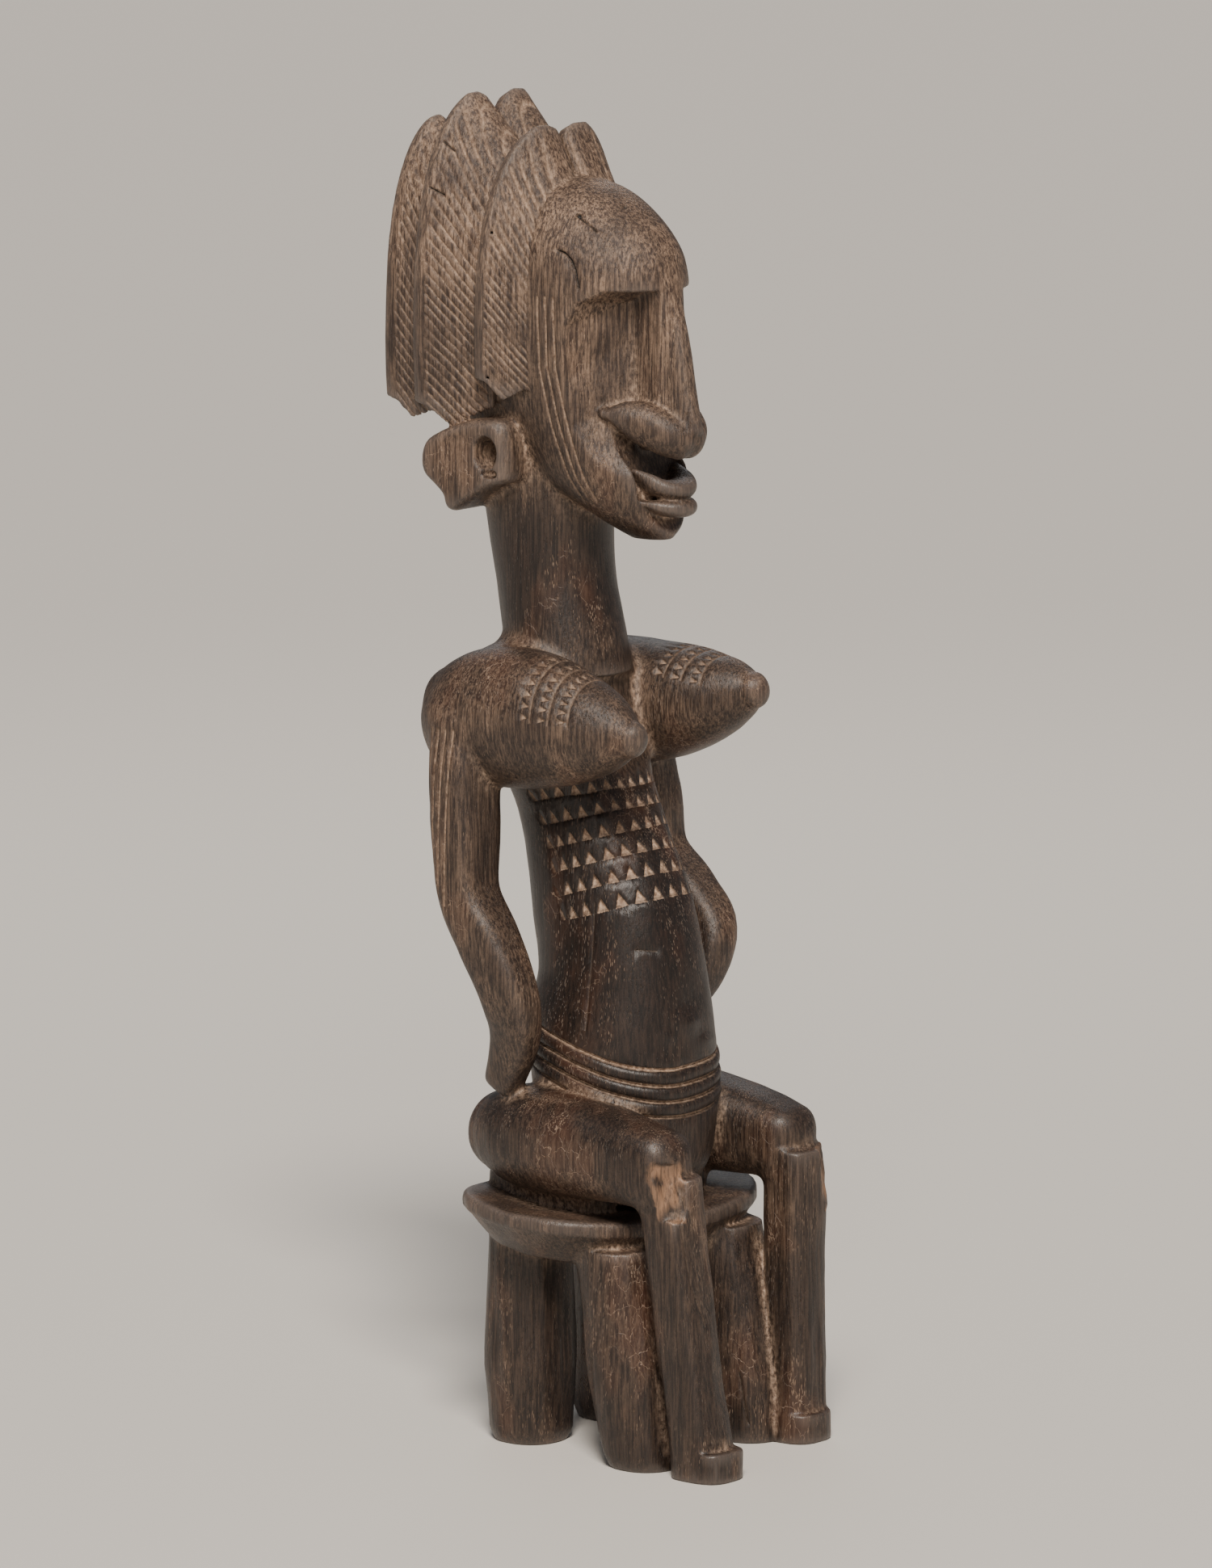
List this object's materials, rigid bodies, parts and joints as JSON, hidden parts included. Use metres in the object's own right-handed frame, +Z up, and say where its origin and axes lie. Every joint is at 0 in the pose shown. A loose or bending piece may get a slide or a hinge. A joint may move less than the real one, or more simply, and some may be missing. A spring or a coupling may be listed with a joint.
{
  "type": "carved wooden seated figure",
  "caption": "Carved wooden woman seated upright on a round stool, with long neck, mask-like face, combed crest of hair and dark oiled patina.",
  "frame": {"origin": "on the floor under the middle of the figure's box", "axes": "+Z up, the figure faces -Y, its own right side is at -X"},
  "size_m": [0.1692, 0.2314, 0.6782],
  "materials": {
    "wood": "dark oiled patina, worn, semi-gloss"
  },
  "bodies": {
    "root": {"seated_figure": "wood"}
  },
  "joints": []
}
